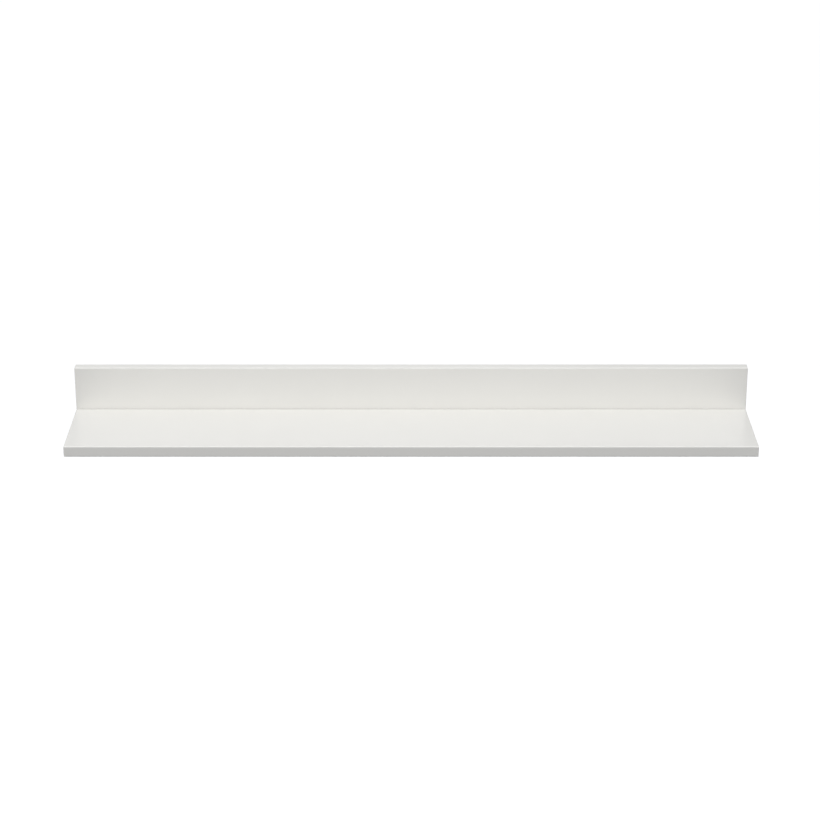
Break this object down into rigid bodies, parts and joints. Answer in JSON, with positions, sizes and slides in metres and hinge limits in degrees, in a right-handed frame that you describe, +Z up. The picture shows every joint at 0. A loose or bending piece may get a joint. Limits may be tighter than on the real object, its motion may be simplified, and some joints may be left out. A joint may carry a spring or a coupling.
{
  "type": "floating wall shelf",
  "caption": "White floating wall shelf: a flat shelf board joined square to a low back board that hangs flat on the wall by hidden keyhole plates.",
  "frame": {"origin": "on the wall plane, midway between the two keyhole hangers, at the level of their seats, where the shanks of the wall screws carry the shelf", "axes": "+Z up, +X to the right of a person who faces the shelf, +Y into the wall, so the front edge looks along -Y"},
  "size_m": [1.1, 0.18, 0.09],
  "materials": {
    "white_board": "satin",
    "white_edging": "satin",
    "zinc_steel": "satin",
    "beech": "matte"
  },
  "bodies": {
    "root": {"back_board": "white_board", "back_band_top": "white_edging", "back_band_bottom": "white_edging", "back_band_left": "white_edging", "back_band_right": "white_edging", "shelf_board": "white_board", "shelf_band_front": "white_edging", "shelf_band_rear": "white_edging", "shelf_band_left": "white_edging", "shelf_band_right": "white_edging", "joint_screw_1": "zinc_steel", "joint_screw_2": "zinc_steel", "joint_screw_3": "zinc_steel", "joint_screw_4": "zinc_steel", "joint_dowel_1": "beech", "joint_dowel_2": "beech", "joint_dowel_3": "beech", "joint_dowel_4": "beech", "hanger_plate_left": "zinc_steel", "hanger_plate_right": "zinc_steel", "plate_screw_left_lower": "zinc_steel", "plate_screw_left_upper": "zinc_steel", "plate_screw_right_lower": "zinc_steel", "plate_screw_right_upper": "zinc_steel"}
  },
  "joints": []
}
